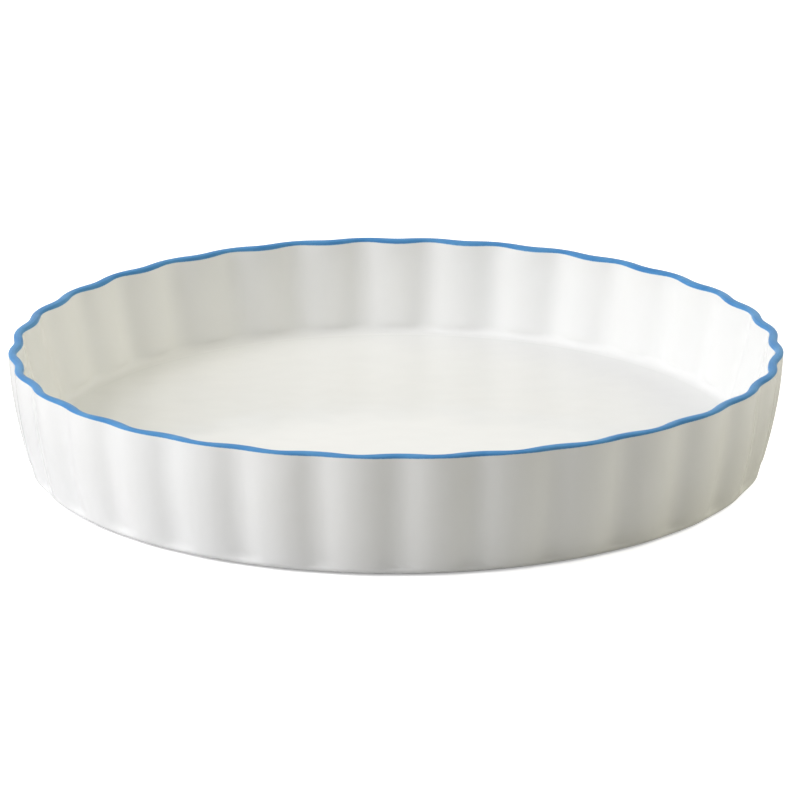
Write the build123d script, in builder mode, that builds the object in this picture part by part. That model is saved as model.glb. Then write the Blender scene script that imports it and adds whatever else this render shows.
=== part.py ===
"""Fluted quiche dish: a round porcelain dish with a fluted side wall and a banded rim.

Millimetres. +Z is up, the dish stands on the plane Z = 0, and the origin is the centre of
the circle it stands on. One flute crest lies on +X.
"""
import math
import os

from build123d import *

# Overall sizes
rim_diameter = 280.0  # across opposite flute crests, at the rim
dish_height = 44.8
floor_thickness = 6.0

# Flutes, the same inside and outside
flute_count = 32
flute_depth = 1.5  # from crest to valley
crest_width_share = 0.6  # of each half flute, the rest is the valley

# Side wall in section
rim_thickness = 3.2
base_diameter = 268.2  # across crests, just above the rounded base corner
wall_bow = 1.2  # how far the outer face swells at mid height
cove_thickness = 7.0  # of the wall, level with the top of the cove
inside_bow = 0.5  # how far the inner face swells outward at mid height
corner_radius = 3.6  # between the outer face and the underside
cove_radius = 5.0  # between the inner face and the floor
edge_flute_depth = 0.15  # what is left of the flutes where they run out

# Rim band, the coloured lip
lip_radius = 0.75  # round along both of its upper edges
lip_skirt = 0.15  # straight part under the rounds

# Floor
floor_border = 1.0  # flat strip of the wall piece, between the cove and the floor disc

# Foot ring, the bare ring that the dish stands on
foot_setback = 2.3  # in from where the rounded corner meets the underside
foot_width = 4.5
foot_height = 2.5  # from the ground to the glazed underside inside the ring
foot_edge_radius = 0.6
underside_lift = 0.8  # gap to the ground outside the ring

# How finely the curved walls are divided in height
wall_sections = 5
corner_sections = 4

# Levels and radii that follow from the sizes
rim_radius = rim_diameter / 2
band_height = lip_skirt + lip_radius
wall_top = dish_height - band_height
floor_top = foot_height + floor_thickness


def fluted_loop(crest_radius, depth, inset):
    """Corner points and mid points of a closed loop of crest and valley arcs.

    The loop is worked out for crest_radius and depth, and then moved inward by inset.
    """
    half_pitch = math.pi / flute_count
    valley_radius = crest_radius - depth
    half_flute = crest_radius * half_pitch
    steepness = 2 * depth / half_flute
    crest_arc = 1 / (steepness / (crest_width_share * half_flute) + 1 / crest_radius)
    crest_centre = crest_radius - crest_arc
    spread = crest_centre * math.cos(half_pitch)
    valley_arc = (crest_arc**2 - crest_centre**2 - valley_radius**2 + 2 * valley_radius * spread) / (
        2 * (valley_radius - spread - crest_arc)
    )
    valley_centre = valley_radius + valley_arc
    reach = crest_arc / (crest_arc + valley_arc)
    swap_x = crest_centre + reach * (valley_centre * math.cos(half_pitch) - crest_centre)
    swap_y = reach * valley_centre * math.sin(half_pitch)
    lean = math.atan2(swap_y, swap_x - crest_centre)
    swap_x -= inset * math.cos(lean)
    swap_y -= inset * math.sin(lean)
    swap_radius = math.hypot(swap_x, swap_y)
    swap_angle = math.atan2(swap_y, swap_x)
    loop = []
    for flute in range(flute_count):
        crest_angle = 2 * half_pitch * flute
        loop.append((swap_radius, crest_angle - swap_angle))
        loop.append((crest_radius - inset, crest_angle))
        loop.append((swap_radius, crest_angle + swap_angle))
        loop.append((valley_radius - inset, crest_angle + half_pitch))
    return [(radius * math.cos(angle), radius * math.sin(angle)) for radius, angle in loop]


def fluted_face(height, crest_radius, depth, inset=0):
    """The loop drawn as arcs at a height and filled."""
    points = fluted_loop(crest_radius, depth, inset)
    points.append(points[0])
    with BuildSketch(Plane.XY.offset(height)) as outline:
        with BuildLine():
            for start in range(0, len(points) - 1, 2):
                ThreePointArc(points[start], points[start + 1], points[start + 2])
        make_face()
    return outline.sketch


def bowed_radius(height, low, high, bow):
    """Radius at a height, on a line from low to high that swells by bow half way."""
    share = (height - low[1]) / (high[1] - low[1])
    return low[0] + (high[0] - low[0]) * share + 4 * bow * share * (1 - share)


def low_end(radius, high, bow, base_level, round_radius):
    """Where a round down to base_level takes over from the bowed line.

    Returns the line's lean from upright there, the place, and the radius where the round ends.
    """
    lean = math.atan((high[0] - radius + 4 * bow) / (high[1] - base_level - round_radius))
    place = (radius, base_level + round_radius * (1 - math.sin(lean)))
    return lean, place, radius - round_radius * math.cos(lean)


def wall_faces(low, high, bow, inset=0):
    """Fluted sections of a bowed wall, from its low end to its high end."""
    faces = []
    for section in range(wall_sections):
        height = low[1] + (high[1] - low[1]) * section / (wall_sections - 1)
        crest_radius = bowed_radius(height, low, high, bow) + inset
        faces.append(fluted_face(height, crest_radius, flute_depth, inset))
    return faces


def corner_faces(low, lean, radius, inset=0):
    """Fluted sections of the round below the wall's low end, where the flutes run out."""
    faces = []
    for step in range(corner_sections):
        share = step / (corner_sections - 1)
        turn = lean + (math.pi / 2 - lean) * share
        out = low[0] - radius * (math.cos(lean) - math.cos(turn))
        up = low[1] - radius * (math.sin(turn) - math.sin(lean))
        fade = (1 - share) ** 2
        depth = edge_flute_depth + (flute_depth - edge_flute_depth) * fade
        faces.append(fluted_face(up, out + inset, depth, inset))
    return faces


# Outer face: a bowed wall that runs into a rounded corner at the base
outer_high = (rim_radius, wall_top)
outer_lean, outer_low, underside_radius = low_end(
    base_diameter / 2, outer_high, wall_bow, underside_lift, corner_radius
)
foot_radius = underside_radius - foot_setback

# Inner face: the same kind of wall, with a cove down to the floor
inner_high = (rim_radius - rim_thickness, wall_top)
cove_crest_radius = bowed_radius(floor_top + cove_radius, outer_low, outer_high, wall_bow) - cove_thickness
inner_lean, inner_low, flat_radius = low_end(
    cove_crest_radius, inner_high, inside_bow, floor_top, cove_radius
)
floor_radius = flat_radius - floor_border

os.makedirs("parts", exist_ok=True)

# Hollow of the dish, a helper that shapes the inner face
with BuildPart() as hollow:
    loft(wall_faces(inner_low, inner_high, inside_bow, rim_thickness))
    loft(corner_faces(inner_low, inner_lean, cove_radius, rim_thickness))

# Fluted side wall, with the rounded base corner and the cove
with BuildPart() as fluted_wall:
    loft(wall_faces(outer_low, outer_high, wall_bow))
    loft(corner_faces(outer_low, outer_lean, corner_radius))
    add(hollow.part, mode=Mode.SUBTRACT)
    with BuildSketch(Plane.XY.offset(underside_lift)):
        Circle(foot_radius)
    extrude(amount=foot_height - underside_lift, mode=Mode.SUBTRACT)
    with BuildSketch(Plane.XY.offset(foot_height)):
        Circle(floor_radius)
    extrude(amount=floor_top - foot_height, mode=Mode.SUBTRACT)

fluted_wall.part.label = "fluted_wall"
export_step(fluted_wall.part, "parts/fluted_wall.step")

# Flat floor inside the cove
with BuildPart() as dish_floor:
    with BuildSketch(Plane.XY.offset(foot_height)):
        Circle(floor_radius)
    extrude(amount=floor_top - foot_height)

dish_floor.part.label = "dish_floor"
export_step(dish_floor.part, "parts/dish_floor.step")

# Bare foot ring
with BuildPart() as foot_ring:
    with BuildSketch():
        Circle(foot_radius)
        Circle(foot_radius - foot_width, mode=Mode.SUBTRACT)
    extrude(amount=foot_height)
    fillet(foot_ring.edges().group_by(Axis.Z)[0], radius=foot_edge_radius)

foot_ring.part.label = "foot_ring"
export_step(foot_ring.part, "parts/foot_ring.step")

# Coloured lip that closes the top of the wall
with BuildPart() as rim_band:
    extrude(fluted_face(wall_top, rim_radius, flute_depth), amount=band_height)
    lip_opening = fluted_face(wall_top, rim_radius, flute_depth, rim_thickness)
    extrude(lip_opening, amount=band_height, mode=Mode.SUBTRACT)
    fillet(rim_band.edges().group_by(Axis.Z)[-1], radius=lip_radius)

rim_band.part.label = "rim_band"
export_step(rim_band.part, "parts/rim_band.step")
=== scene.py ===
"""Looks of the fluted quiche dish: one white glazed body, a blue lip and a bare foot ring.

Metres. The dish stands on Z = 0 with its axis on Z and a flute crest on +X, as in the frame.
"""
import math

import bpy
import numpy as np
from mathutils import Matrix, Vector


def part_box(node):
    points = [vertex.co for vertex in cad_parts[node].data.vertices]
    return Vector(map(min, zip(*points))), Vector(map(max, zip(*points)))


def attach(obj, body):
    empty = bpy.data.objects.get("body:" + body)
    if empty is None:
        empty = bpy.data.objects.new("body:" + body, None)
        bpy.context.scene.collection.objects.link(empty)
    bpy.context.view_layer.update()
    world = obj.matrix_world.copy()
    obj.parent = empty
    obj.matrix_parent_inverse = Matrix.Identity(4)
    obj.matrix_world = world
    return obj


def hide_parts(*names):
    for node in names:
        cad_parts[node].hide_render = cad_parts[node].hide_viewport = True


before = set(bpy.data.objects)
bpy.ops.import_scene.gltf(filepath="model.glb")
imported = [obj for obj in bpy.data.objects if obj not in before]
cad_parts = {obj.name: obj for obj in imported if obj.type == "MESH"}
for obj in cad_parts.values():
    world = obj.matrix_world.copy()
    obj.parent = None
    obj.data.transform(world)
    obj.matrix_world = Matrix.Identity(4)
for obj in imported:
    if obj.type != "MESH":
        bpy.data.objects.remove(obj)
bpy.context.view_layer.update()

# Sizes read from the frame
lip_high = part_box("rim_band")[1]
wall_low, wall_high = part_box("fluted_wall")
floor_low, floor_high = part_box("dish_floor")
ring_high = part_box("foot_ring")[1]
rim_radius = lip_high.x
dish_height = lip_high.z
wall_top = wall_high.z
rim_underside = wall_low.z
floor_top = floor_high.z
floor_underside = floor_low.z
ring_radius = ring_high.x

# Sizes of the wall and ring, as in the frame's solids
flute_count = 32
base_radius = 0.1341
wall_bow = 0.0012
cove_thickness = 0.007
inside_bow = 0.0005
corner_radius = 0.0036
cove_radius = 0.005
ring_width = 0.0045
ring_edge_radius = 0.0006

# Flutes, by their depth before the arcs are eased, which takes off a little
outer_lip_depth = 0.0016
inner_lip_depth = 0.00183
outer_depth = 0.00183  # below the lip
inner_depth = 0.0014
thinnest_flute = 0.00001  # where the flutes have run out
outer_crest_share = 0.68  # of each half flute, the rest is the valley
inner_crest_share = 0.38
crest_wander = math.radians(0.35)  # how far a crest may stand from its place
crest_waves = (3, 5, 8, 13)

# The lip
lip_thickness = 0.0029
lip_round = 0.0009
lip_influence = 0.009  # height over which the lip's form fades into the wall's
crest_thinning = 0.00012  # of the lip, at a crest
lip_crown = 0.00012
lip_wobble = 0.00006
lip_waves = (3, 4, 5)
rim_warp = 0.00074  # half of how far firing has lowered the rim at +X and -X, against +Y and -Y
rim_sway = 0.00013  # how far three high and three low places lie from that
sway_crest = math.radians(119)

# The blue, by how far it reaches along the skin from the top of the lip's round
outer_blue_at_crest = 0.00178
outer_blue_at_valley = 0.00212
inner_blue_at_crest = 0.00195
inner_blue_at_valley = 0.00225
blue_wander = 0.0001
outer_blue_waves = (7, 11, 17, 29)
inner_blue_waves = (6, 13, 19, 31)
blue_lean = 0.0002  # half of how much less it reaches outside at one side of the dish
blue_lean_side = math.radians(-140)
feather = 0.00022  # strip over which it fades out
full_cover = 9.0  # mark on the lip's top, far from both edges

# Floor, underside and foot
underside_hollow = 0.0004
floor_sag = 0.00015
foot_fillet = 0.0012
glaze_step = 0.0003  # round between the underside and the outer side of the ring

# Marks that say how thickly the white glaze lies, from 0 to 1
seam_pool = 0.4  # in the corners beside the ring
corner_pool = 0.15  # round the base corner
outer_valley_pool = 0.3
inner_crest_pool = 0.5
inner_pool_rise = 4  # power by which it gathers towards the cove
floor_pool_start = 0.93  # share of the floor's radius where its edge pool starts
ring_seat_glaze = 1.0
ring_side_glaze = 0.6

# How finely the meshes are divided
segments_per_flute = 26
easing_passes = 3  # how softly the crest and valley arcs run into each other
wall_rows = 28
round_rows = 12
flat_rows = 10
lip_rows = 16
lip_top_rows = 8
step_rows = 5
ring_edge_rows = 7
row_crowding = 1.6  # crowds the wall's rows towards the lip
sharp_angle = math.radians(40)  # between faces, above which an edge isn't shaded smooth

# The chance marks of this one dish
mould_seed = 11
least_wave = 0.5  # lowest a wave in a wander can be, against 1
random = np.random.default_rng(mould_seed)

segments = flute_count * segments_per_flute
half_pitch = math.pi / flute_count
angles = np.arange(segments) * 2 * math.pi / segments


def wander(size, waves):
    """A smooth closed wave round the dish, no larger than size."""
    total = np.zeros(segments)
    for wave in waves:
        total += random.uniform(least_wave, 1) * np.sin(wave * angles + random.uniform(0, 2 * math.pi))
    return size * total / np.abs(total).max()


def smooth(share):
    """Eases a share in and out."""
    share = np.clip(share, 0, 1)
    return share * share * (3 - 2 * share)


def level(value):
    """The same value all round the dish."""
    return np.full(segments, float(value))


# Angle to the nearest crest at each place round the dish, with the small drift of a real mould
from_crest = (angles + wander(crest_wander, crest_waves) + half_pitch) % (2 * half_pitch) - half_pitch
from_crest = np.abs(from_crest)
valley_share = (1 - np.cos(math.pi * from_crest / half_pitch)) / 2


def eased(radius):
    """The same outline, with its change from arc to arc spread over a few places."""
    for _ in range(easing_passes):
        radius = (np.roll(radius, 1) + 2 * radius + np.roll(radius, -1)) / 4
    return radius


def fluted_radius(crest_radius, depth, crest_share):
    """Radius of the crest and valley arcs at each place round the dish."""
    half_flute = crest_radius * half_pitch
    valley_radius = crest_radius - depth
    steepness = 2 * depth / half_flute
    crest_arc = 1 / (steepness / (crest_share * half_flute) + 1 / crest_radius)
    crest_centre = crest_radius - crest_arc
    spread = crest_centre * math.cos(half_pitch)
    valley_arc = (crest_arc**2 - crest_centre**2 - valley_radius**2 + 2 * valley_radius * spread) / (
        2 * (valley_radius - spread - crest_arc)
    )
    valley_centre = valley_radius + valley_arc
    reach = crest_arc / (crest_arc + valley_arc)
    swap_x = crest_centre + reach * (valley_centre * math.cos(half_pitch) - crest_centre)
    swap_y = reach * valley_centre * math.sin(half_pitch)
    from_valley = half_pitch - from_crest
    crest_room = crest_arc**2 - (crest_centre * np.sin(from_crest)) ** 2
    valley_room = valley_arc**2 - (valley_centre * np.sin(from_valley)) ** 2
    bend = np.sign(valley_arc)  # a shallow valley is only a flatter stretch of the curve
    on_crest = crest_centre * np.cos(from_crest) + np.sqrt(np.maximum(crest_room, 0))
    on_valley = valley_centre * np.cos(from_valley) - bend * np.sqrt(np.maximum(valley_room, 0))
    return eased(np.where(from_crest < np.arctan2(swap_y, swap_x), on_crest, on_valley))


def bowed_radius(height, low, high, bow):
    """Radius at a height, on a line from low to high that swells by bow half way."""
    share = (height - low[1]) / (high[1] - low[1])
    return low[0] + (high[0] - low[0]) * share + 4 * bow * share * (1 - share)


def low_end(radius, high, bow, base_level, round_radius):
    """Lean, place and flat radius where a round down to base_level takes over from the wall."""
    lean = math.atan((high[0] - radius + 4 * bow) / (high[1] - base_level - round_radius))
    place = (radius, base_level + round_radius * (1 - math.sin(lean)))
    return lean, place, radius - round_radius * math.cos(lean)


# Both faces of the wall, each from its low end to its high end, by radius and height
outer_high = (rim_radius, wall_top)
outer_lean, outer_low, _ = low_end(base_radius, outer_high, wall_bow, rim_underside, corner_radius)
inner_high = (rim_radius - lip_thickness, wall_top)
cove_crest_radius = bowed_radius(floor_top + cove_radius, outer_low, outer_high, wall_bow) - cove_thickness
inner_lean, inner_low, floor_radius = low_end(
    cove_crest_radius, inner_high, inside_bow, floor_top, cove_radius
)


def warped(height):
    """Heights on the wall lowered to the warped rim, and unchanged at the floor."""
    share = (height - floor_top) / (dish_height - floor_top)
    lowered = rim_warp * (1 + np.cos(2 * angles)) - rim_sway * np.cos(3 * (angles - sway_crest))
    return height - lowered * smooth(share)


def lip_nearness(height):
    """One at the lip, fading to nothing a little way down the wall."""
    return smooth(1 - (wall_top - height) / lip_influence)


def outer_wall(height):
    """Radius of the outer face at a height, which may differ round the dish."""
    height = np.minimum(height, wall_top)
    depth = outer_depth + (outer_lip_depth - outer_depth) * lip_nearness(height)
    return fluted_radius(bowed_radius(height, outer_low, outer_high, wall_bow), depth, outer_crest_share)


def inner_wall(height):
    """Radius of the inner face at a height, which may differ round the dish."""
    height = np.minimum(height, wall_top)
    near = lip_nearness(height)
    depth = inner_depth + (inner_lip_depth - inner_depth) * near
    crest_radius = bowed_radius(height, inner_low, inner_high, inside_bow) + crest_thinning * near
    return fluted_radius(crest_radius, depth, inner_crest_share)


# The lip: its uneven top, its two edges, and how far the blue reaches outside and inside
lip_top = dish_height - lip_wobble - wander(lip_wobble, lip_waves)
shoulder = lip_top - lip_round
lip_outside = outer_wall(wall_top)
lip_inside = inner_wall(wall_top)
round_way = lip_round * math.pi / 2
outer_reach = outer_blue_at_crest + (outer_blue_at_valley - outer_blue_at_crest) * valley_share
inner_reach = inner_blue_at_crest + (inner_blue_at_valley - inner_blue_at_crest) * valley_share
outer_reach += wander(blue_wander, outer_blue_waves)
inner_reach += wander(blue_wander, inner_blue_waves)
outer_reach -= blue_lean * (1 + np.cos(angles - blue_lean_side))


def lip_skin(way):
    """Setback and height at a way down the lip's skin from the top of its round."""
    turn = math.pi / 2 - np.minimum(way, round_way) / lip_round
    height = shoulder + (lip_round - lip_crown) * np.sin(turn) - np.maximum(way - round_way, 0)
    return lip_round * (1 - np.cos(turn)), height


def outer_skin(way):
    """Radius and height at a way down the outer skin from the top of the lip's round."""
    setback, height = lip_skin(way)
    return np.where(way < round_way, lip_outside - setback, outer_wall(height)), height


def inner_skin(way):
    """Radius and height at a way down the inner skin from the top of the lip's round."""
    setback, height = lip_skin(way)
    return np.where(way < round_way, lip_inside + setback, inner_wall(height)), height


def revolved(name, rows, first_pole=None, last_pole=None):
    """A closed mesh from rows of (radius, height, mark) round the dish.

    In a section with its radius to the right, the rows keep the outside on their right.
    Without poles the last row joins the first. The mark is kept as a point attribute.
    """
    points = []
    marks = []
    for radius, height, mark in rows:
        points.append(np.stack([radius * np.cos(angles), radius * np.sin(angles), height], axis=1))
        marks.append(np.broadcast_to(mark, segments))
    points = np.concatenate(points)
    marks = np.concatenate(marks)
    place = np.arange(segments)
    following = (place + 1) % segments
    faces = []
    last = len(rows) - 1 if first_pole is not None else len(rows)
    for row in range(last):
        here = row * segments
        there = (row + 1) % len(rows) * segments
        corners = (here + place, here + following, there + following, there + place)
        faces += np.stack(corners, axis=1).tolist()
    for pole, row in ((first_pole, 0), (last_pole, len(rows) - 1)):
        if pole is None:
            continue
        centre = len(points)
        points = np.concatenate([points, [[0, 0, pole]]])
        marks = np.append(marks, marks[row * segments])
        here = row * segments
        for one, two in zip(here + place, here + following):
            faces.append((centre, two, one) if row == 0 else (centre, one, two))
    mesh = bpy.data.meshes.new(name)
    mesh.from_pydata(points.tolist(), [], faces)
    mesh.polygons.foreach_set("use_smooth", [True] * len(mesh.polygons))
    mark_layer = mesh.attributes.new("mark", "FLOAT", "POINT")
    mark_layer.data.foreach_set("value", marks.astype(np.float32))
    mesh.set_sharp_from_angle(angle=sharp_angle)
    piece = bpy.data.objects.new(name, mesh)
    bpy.context.scene.collection.objects.link(piece)
    return piece


def arc_rows(centre, radius, start, end, count, mark=0.0):
    """Plain round rows along an arc in section, from the start angle to the end angle."""
    rows = []
    for angle in np.linspace(start, end, count):
        out = centre[0] + radius * math.cos(angle)
        up = centre[1] + radius * math.sin(angle)
        rows.append((level(out), level(up), mark))
    return rows


def rounded_rows(low, lean, radius, depth, crest_share):
    """Share, radius and height of the fluted rows of a round, from the flat up to the wall."""
    rows = []
    for turn in np.linspace(math.pi / 2, lean, round_rows):
        share = (turn - lean) / (math.pi / 2 - lean)
        out = low[0] - radius * (math.cos(lean) - math.cos(turn))
        up = low[1] - radius * (math.sin(turn) - math.sin(lean))
        faded = thinnest_flute + (depth - thinnest_flute) * (1 - share) ** 2
        rows.append((share, fluted_radius(out, faded, crest_share), level(up)))
    return rows


def underside_rows():
    """From near the middle of the underside out to where the ring is seated."""
    rows = []
    inside = ring_radius - ring_width - foot_fillet
    for share in np.linspace(0, 1, flat_rows + 1)[1:]:
        hollow = underside_hollow * (1 - smooth(share))
        rows.append((level(inside * share), level(floor_underside + hollow), 0.0))
    fillet_centre = (inside, floor_underside - foot_fillet)
    return rows + arc_rows(fillet_centre, foot_fillet, math.pi / 2, 0, round_rows, seam_pool)[1:]


def corner_rows():
    """From the outer side of the ring out and up round the base corner."""
    step_centre = (ring_radius + glaze_step, rim_underside - glaze_step)
    rows = arc_rows(step_centre, glaze_step, math.pi, math.pi / 2, step_rows, seam_pool)
    for _, radius, height in rounded_rows(
        outer_low, outer_lean, corner_radius, outer_depth, outer_crest_share
    ):
        rows.append((radius, height, corner_pool))
    return rows


def cove_rows():
    """From the foot of the inner wall down round the cove to the floor."""
    rows = []
    for share, radius, height in rounded_rows(
        inner_low, inner_lean, cove_radius, inner_depth, inner_crest_share
    ):
        rows.append((radius, height, smooth(share)))
    return rows[::-1][1:]  # the inner wall ends with the first of them


def body_piece():
    """The white body: underside, base corner, outer wall, inner wall, cove and floor."""
    rows = underside_rows() + corner_rows()
    outer_way = round_way + shoulder - outer_low[1]
    inner_way = round_way + shoulder - inner_low[1]
    shares = np.linspace(0, 1, wall_rows + 1) ** row_crowding
    for share in shares[::-1][1:]:
        radius, height = outer_skin(outer_reach + (outer_way - outer_reach) * share)
        rows.append((radius, warped(height), outer_valley_pool * valley_share * share))
    for share in shares:
        radius, height = inner_skin(inner_reach + (inner_way - inner_reach) * share)
        pool = inner_crest_pool * (1 - valley_share) * share**inner_pool_rise
        rows.append((radius, warped(height), pool))
    rows += cove_rows()
    for share in np.linspace(1, 0, flat_rows + 1)[1:-1]:
        sag = floor_sag * (1 - smooth(share))
        edge_pool = smooth((share - floor_pool_start) / (1 - floor_pool_start))
        rows.append((level(floor_radius * share), level(floor_top - sag), edge_pool))
    return revolved("glazed_body", rows, floor_underside + underside_hollow, floor_top - floor_sag)


def lip_piece():
    """The blue lip, from the seam outside over the rounded top to the seam inside."""
    rows = []
    for share in np.linspace(1, 0, lip_rows):
        radius, height = outer_skin(outer_reach * share)
        rows.append((radius, warped(height), outer_reach * (1 - share) / feather))
    for share in np.linspace(0, 1, lip_top_rows)[1:-1]:
        radius = (lip_outside - lip_round) * (1 - share) + (lip_inside + lip_round) * share
        height = lip_top - lip_crown * (2 * share - 1) ** 2
        rows.append((radius, warped(height), full_cover))
    for share in np.linspace(0, 1, lip_rows):
        radius, height = inner_skin(inner_reach * share)
        rows.append((radius, warped(height), inner_reach * (1 - share) / feather))
    return revolved("blue_lip", rows)


def ring_piece():
    """The foot ring, with its bare standing face and the glaze that ends on its sides."""
    inside = ring_radius - ring_width
    seat_inside = floor_underside - foot_fillet
    seat_outside = rim_underside - glaze_step
    inner_edge = (inside + ring_edge_radius, ring_edge_radius)
    outer_edge = (ring_radius - ring_edge_radius, ring_edge_radius)
    down = 1.5 * math.pi
    rows = [
        (level(inside), level(seat_inside), ring_seat_glaze),
        (level(inside), level((seat_inside + ring_edge_radius) / 2), ring_side_glaze),
    ]
    rows += arc_rows(inner_edge, ring_edge_radius, math.pi, down, ring_edge_rows)
    rows += arc_rows(outer_edge, ring_edge_radius, down, 2 * math.pi, ring_edge_rows)[:-1]
    rows.append((level(ring_radius), level(seat_outside), ring_seat_glaze))
    return revolved("foot_ring_bare", rows)


# Colours of the glazes and the bare body
glaze_white = (0.88, 0.88, 0.868)
glaze_cool = (0.865, 0.87, 0.862)
glaze_pooled = (0.83, 0.84, 0.82)
blue_full = (0.066, 0.242, 0.535)
blue_thin = (0.110, 0.318, 0.609)
blue_edge = (0.42, 0.62, 0.80)
bare_body = (0.74, 0.71, 0.65)
bare_speck = (0.60, 0.56, 0.50)

# Noises, each by its scale per metre and its detail
tint_drift = (16.0, 3.0)
gloss_drift = (45.0, 3.0)
glaze_ripple = (55.0, 1.0)
glaze_peel = (420.0, 1.0)
blue_streaks = (90.0, 3.0)
streak_stretch = (1, 1, 4)
blue_fray = (1800.0, 2.0)
blue_gloss_drift = (60.0, 2.0)
blue_ripple = (70.0, 1.0)
body_specks = (1400.0, 4.0)
glaze_line_fray = (260.0, 3.0)
bare_grain = (900.0, 4.0)

# Relief, in metres
ripple_relief = 0.00022
blue_ripple_relief = 0.00010
peel_relief = 0.000012
grain_relief = 0.00003

# Ranges, either of a mark or noise or of what it becomes
whole = (0, 1)
noise_range = (0.3, 0.7)  # where a noise nearly always lies
speck_range = (0.55, 0.75)  # of the noise, from plain body to full speck
glaze_line_range = (0.45, 0.6)  # of the mark, from bare body to full glaze
pooled_range = (0, 0.3)  # share of the pooled colour, from no mark to a full one
blue_fray_range = (-0.35, 0.35)  # added to the mark
glaze_line_fray_range = (-0.3, 0.3)

# Gloss
white_roughness = (0.09, 0.15)
blue_roughness = (0.34, 0.44)
bare_to_glazed_roughness = (0.72, 0.14)
glaze_index = 1.5
blue_specular = 0.12


def material(name):
    """A new node material, its node tree and its surface shader."""
    made = bpy.data.materials.new(name)
    made.use_nodes = True
    return made, made.node_tree, made.node_tree.nodes["Principled BSDF"]


def noise(tree, scale, detail, stretch=(1, 1, 1)):
    """A noise texture in the object's own coordinates, scaled per metre."""
    place = tree.nodes.new("ShaderNodeTexCoord")
    mapping = tree.nodes.new("ShaderNodeMapping")
    mapping.inputs["Scale"].default_value = stretch
    texture = tree.nodes.new("ShaderNodeTexNoise")
    texture.inputs["Scale"].default_value = scale
    texture.inputs["Detail"].default_value = detail
    tree.links.new(place.outputs["Object"], mapping.inputs["Vector"])
    tree.links.new(mapping.outputs["Vector"], texture.inputs["Vector"])
    return texture.outputs["Fac"]


def spread(tree, value, target, source=noise_range):
    """Maps a value from the source range onto the target range."""
    node = tree.nodes.new("ShaderNodeMapRange")
    node.inputs["From Min"].default_value = source[0]
    node.inputs["From Max"].default_value = source[1]
    node.inputs["To Min"].default_value = target[0]
    node.inputs["To Max"].default_value = target[1]
    tree.links.new(value, node.inputs["Value"])
    return node.outputs["Result"]


def mixed(tree, share, one, two):
    """A colour between two others, by a varying share. Either may be a colour or an output."""
    node = tree.nodes.new("ShaderNodeMix")
    node.data_type = "RGBA"
    tree.links.new(share, node.inputs["Factor"])
    for socket, colour in ((node.inputs["A"], one), (node.inputs["B"], two)):
        if isinstance(colour, tuple):
            socket.default_value = (*colour, 1)
        else:
            tree.links.new(colour, socket)
    return node.outputs["Result"]


def marked(tree):
    """The mark that the mesh carries at each point."""
    node = tree.nodes.new("ShaderNodeAttribute")
    node.attribute_name = "mark"
    return node.outputs["Fac"]


def frayed(tree, fray, fray_range):
    """The mark, made uneven by a noise."""
    node = tree.nodes.new("ShaderNodeMath")
    node.operation = "ADD"
    tree.links.new(marked(tree), node.inputs[0])
    tree.links.new(spread(tree, noise(tree, *fray), fray_range), node.inputs[1])
    return node.outputs["Value"]


def bumped(tree, shader, layers):
    """Fine relief from (noise, height in metres) layers."""
    normal = None
    for layer, height in layers:
        node = tree.nodes.new("ShaderNodeBump")
        node.inputs["Strength"].default_value = 1.0
        node.inputs["Distance"].default_value = height
        tree.links.new(noise(tree, *layer), node.inputs["Height"])
        if normal is not None:
            tree.links.new(normal, node.inputs["Normal"])
        normal = node.outputs["Normal"]
    tree.links.new(normal, shader.inputs["Normal"])


def white_glaze():
    """Glossy white glaze with a faint drift in tint, shallow ripples and fuller pools."""
    made, tree, shader = material("white_glaze")
    tint = mixed(tree, spread(tree, noise(tree, *tint_drift), whole), glaze_white, glaze_cool)
    pooled = spread(tree, marked(tree), pooled_range, whole)
    tree.links.new(mixed(tree, pooled, tint, glaze_pooled), shader.inputs["Base Color"])
    roughness = spread(tree, noise(tree, *gloss_drift), white_roughness)
    tree.links.new(roughness, shader.inputs["Roughness"])
    shader.inputs["IOR"].default_value = glaze_index
    bumped(tree, shader, ((glaze_ripple, ripple_relief), (glaze_peel, peel_relief)))
    return made


def blue_glaze():
    """Blue brushed under the clear glaze, thinner in streaks and fading at its edge."""
    made, tree, shader = material("blue_glaze")
    streak = spread(tree, noise(tree, *blue_streaks, streak_stretch), whole)
    body = mixed(tree, streak, blue_full, blue_thin)
    cover = spread(tree, frayed(tree, blue_fray, blue_fray_range), whole, whole)
    tree.links.new(mixed(tree, cover, blue_edge, body), shader.inputs["Base Color"])
    roughness = spread(tree, noise(tree, *blue_gloss_drift), blue_roughness)
    tree.links.new(roughness, shader.inputs["Roughness"])
    shader.inputs["Specular IOR Level"].default_value = blue_specular
    bumped(tree, shader, ((blue_ripple, blue_ripple_relief), (glaze_peel, peel_relief)))
    return made


def bare_biscuit():
    """Ground, unglazed porcelain with small specks, under a glaze line on the ring's sides."""
    made, tree, shader = material("bare_biscuit")
    specks = spread(tree, noise(tree, *body_specks), whole, speck_range)
    body = mixed(tree, specks, bare_body, bare_speck)
    covered = spread(tree, frayed(tree, glaze_line_fray, glaze_line_fray_range), whole, glaze_line_range)
    tree.links.new(mixed(tree, covered, body, glaze_white), shader.inputs["Base Color"])
    roughness = spread(tree, covered, bare_to_glazed_roughness, whole)
    tree.links.new(roughness, shader.inputs["Roughness"])
    shader.inputs["IOR"].default_value = glaze_index
    bumped(tree, shader, ((bare_grain, grain_relief),))
    return made


def dress(piece, finish, slot, *nodes):
    """Gives a piece its material, hangs it under the root and hides the frame parts it stands for."""
    piece.data.materials.append(finish)
    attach(piece, "root")
    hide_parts(*nodes)


dress(body_piece(), white_glaze(), "white_glaze", "fluted_wall", "dish_floor")
dress(lip_piece(), blue_glaze(), "blue_glaze", "rim_band")
dress(ring_piece(), bare_biscuit(), "bare_biscuit", "foot_ring")

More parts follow.
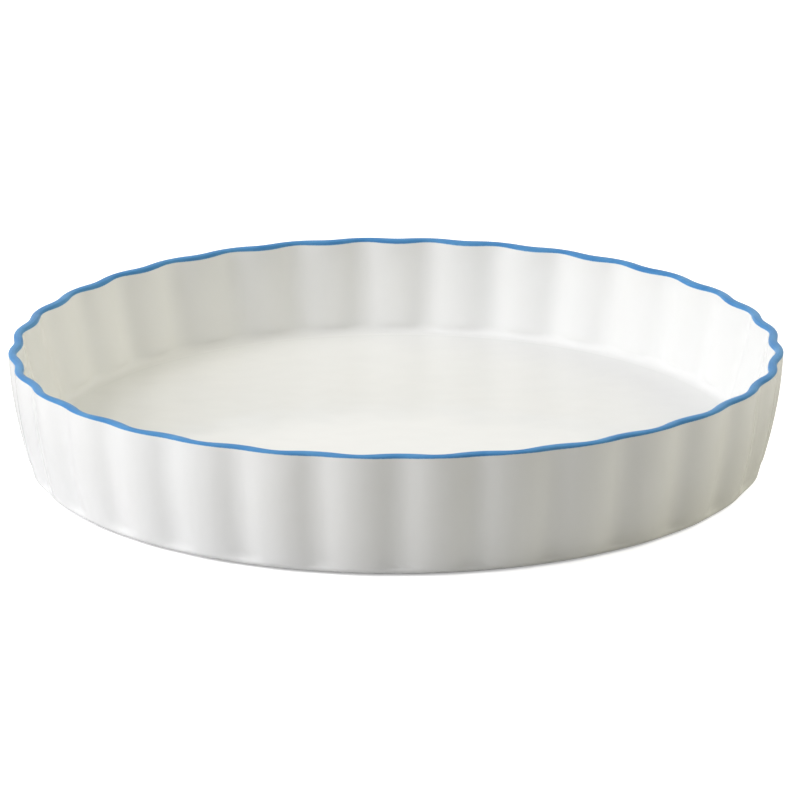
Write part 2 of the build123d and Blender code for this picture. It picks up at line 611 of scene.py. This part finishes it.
# Camera, at the photograph's angle. Turns are given in degrees, and azimuth 0 is its right
photo_pixels = 800
sensor_width = 36.0
focal_pixels = 3938.3
camera_distance = 1.42797
camera_azimuth = -90
camera_elevation = math.radians(16.459)
camera_yaw = math.radians(0.059)
camera_pitch = math.radians(-0.900)
camera_roll = math.radians(-0.046)
dish_turn = math.radians(-5.682)  # from the photograph's right to the crest on +X
rim_middle = Vector((0, 0, dish_height - rim_warp))


def seen_direction(azimuth, elevation):
    """Unit vector from the dish, by angles in the photograph's own frame."""
    turn = math.radians(azimuth) + dish_turn
    rise = math.radians(elevation)
    return Vector((math.cos(turn) * math.cos(rise), math.sin(turn) * math.cos(rise), math.sin(rise)))


def add_camera():
    """The camera, aimed at the middle of the rim and then turned a little."""
    data = bpy.data.cameras.new("camera")
    data.sensor_width = sensor_width
    data.lens = focal_pixels / photo_pixels * sensor_width
    camera = bpy.data.objects.new("camera", data)
    bpy.context.scene.collection.objects.link(camera)
    aimed = Matrix.Rotation(dish_turn, 4, "Z") @ Matrix.Rotation(math.pi / 2 - camera_elevation, 4, "X")
    trimmed = (
        Matrix.Rotation(-camera_yaw, 4, "Y")
        @ Matrix.Rotation(camera_pitch, 4, "X")
        @ Matrix.Rotation(camera_roll, 4, "Z")
    )
    away = seen_direction(camera_azimuth, math.degrees(camera_elevation))
    place = rim_middle + camera_distance * away
    camera.matrix_world = Matrix.Translation(place) @ aimed @ trimmed
    bpy.context.scene.camera = camera


# Lights, floor and world
light_distance = 2.2
window_size = (1.3, 1.2)
broad_size = (1.8, 1.4)
plain_white = (1.0, 1.0, 1.0)
window_colour = (0.968, 0.968, 1.0)
return_colour = (1.0, 0.965, 0.80)
world_fill = 0.122
fill_colour = (1.0, 0.98, 0.86)
floor_half = 1.2
floor_albedo = 0.74
floor_seen_albedo = 0.6
floor_glow = 0.8
# Painted contact shade: near the dish, ambient occlusion darkens the glow that the seen floor gives off
contact_reach = 0.0012
contact_samples = 16
painted_shade_range = (0.3, 0.6)  # of the occlusion, from the darkest painted contact shade to the plain floor
glow_in_painted_shade = 0.1  # what is left of the floor's glow in the painted contact shade, where the dish covers it


def add_light(name, azimuth, elevation, size, power, colour, mirrored):
    """A soft rectangular light that faces the dish, and shows in its gloss if mirrored."""
    data = bpy.data.lights.new(name, "AREA")
    data.shape = "RECTANGLE"
    data.size, data.size_y = size
    data.energy = power
    data.color = colour
    light = bpy.data.objects.new(name, data)
    bpy.context.scene.collection.objects.link(light)
    direction = seen_direction(azimuth, elevation)
    light.location = direction * light_distance
    light.rotation_mode = "QUATERNION"
    light.rotation_quaternion = direction.to_track_quat("Z", "Y")
    light.visible_glossy = mirrored


def add_world():
    """White where it is seen or mirrored, and a weaker warm fill on everything else."""
    world = bpy.data.worlds.new("studio")
    bpy.context.scene.world = world
    world.use_nodes = True
    tree = world.node_tree
    tree.nodes.clear()
    rays = tree.nodes.new("ShaderNodeLightPath")
    plain = tree.nodes.new("ShaderNodeBackground")
    plain.inputs["Strength"].default_value = 1.0
    plain.inputs["Color"].default_value = (*plain_white, 1)
    fill = tree.nodes.new("ShaderNodeBackground")
    fill.inputs["Strength"].default_value = world_fill
    fill.inputs["Color"].default_value = (*fill_colour, 1)
    seen = rays.outputs["Is Camera Ray"]
    for other in ("Is Glossy Ray", "Is Transmission Ray"):
        either = tree.nodes.new("ShaderNodeMath")
        either.operation = "MAXIMUM"
        tree.links.new(seen, either.inputs[0])
        tree.links.new(rays.outputs[other], either.inputs[1])
        seen = either.outputs["Value"]
    choice = tree.nodes.new("ShaderNodeMixShader")
    tree.links.new(seen, choice.inputs["Fac"])
    tree.links.new(fill.outputs["Background"], choice.inputs[1])
    tree.links.new(plain.outputs["Background"], choice.inputs[2])
    output = tree.nodes.new("ShaderNodeOutputWorld")
    tree.links.new(choice.outputs["Shader"], output.inputs["Surface"])


def floor_material():
    """Pale floor that is white where it is seen, but keeps the dish's shadow and a painted contact shade
    and line, where occlusion darkens its glow.
    """
    made = bpy.data.materials.new("pale_floor")
    made.use_nodes = True
    tree = made.node_tree
    tree.nodes.clear()
    rays = tree.nodes.new("ShaderNodeLightPath")
    matt = tree.nodes.new("ShaderNodeBsdfDiffuse")
    matt.inputs["Color"].default_value = (floor_albedo,) * 3 + (1,)
    darker = tree.nodes.new("ShaderNodeBsdfDiffuse")
    darker.inputs["Color"].default_value = (floor_seen_albedo,) * 3 + (1,)
    # Painted contact shade and line: occlusion near the dish darkens the floor's glow
    near = tree.nodes.new("ShaderNodeAmbientOcclusion")
    near.samples = contact_samples
    near.inputs["Distance"].default_value = contact_reach
    glow = tree.nodes.new("ShaderNodeEmission")
    glow.inputs["Strength"].default_value = floor_glow
    painted_shade_factor = spread(tree, near.outputs["AO"], (glow_in_painted_shade, 1), painted_shade_range)
    tree.links.new(painted_shade_factor, glow.inputs["Color"])
    both = tree.nodes.new("ShaderNodeAddShader")
    tree.links.new(darker.outputs["BSDF"], both.inputs[0])
    tree.links.new(glow.outputs["Emission"], both.inputs[1])
    choice = tree.nodes.new("ShaderNodeMixShader")
    tree.links.new(rays.outputs["Is Camera Ray"], choice.inputs["Fac"])
    tree.links.new(matt.outputs["BSDF"], choice.inputs[1])
    tree.links.new(both.outputs["Shader"], choice.inputs[2])
    output = tree.nodes.new("ShaderNodeOutputMaterial")
    tree.links.new(choice.outputs["Shader"], output.inputs["Surface"])
    return made


def add_floor():
    """A wide flat floor under the dish."""
    mesh = bpy.data.meshes.new("floor")
    corners = [(-1, -1), (1, -1), (1, 1), (-1, 1)]
    mesh.from_pydata([(x * floor_half, y * floor_half, 0) for x, y in corners], [], [(0, 1, 2, 3)])
    floor = bpy.data.objects.new("floor", mesh)
    bpy.context.scene.collection.objects.link(floor)
    mesh.materials.append(floor_material())


add_camera()
add_light(
    "window_light",
    azimuth=199,
    elevation=33,
    size=window_size,
    power=40.6,
    colour=window_colour,
    mirrored=False,
)
add_light(
    "upper_light",
    azimuth=190,
    elevation=65,
    size=broad_size,
    power=9.8,
    colour=plain_white,
    mirrored=True,
)
add_light(
    "return_light",
    azimuth=15,
    elevation=35,
    size=broad_size,
    power=26.6,
    colour=return_colour,
    mirrored=False,
)
add_world()
add_floor()
bpy.context.scene.view_settings.view_transform = "Standard"
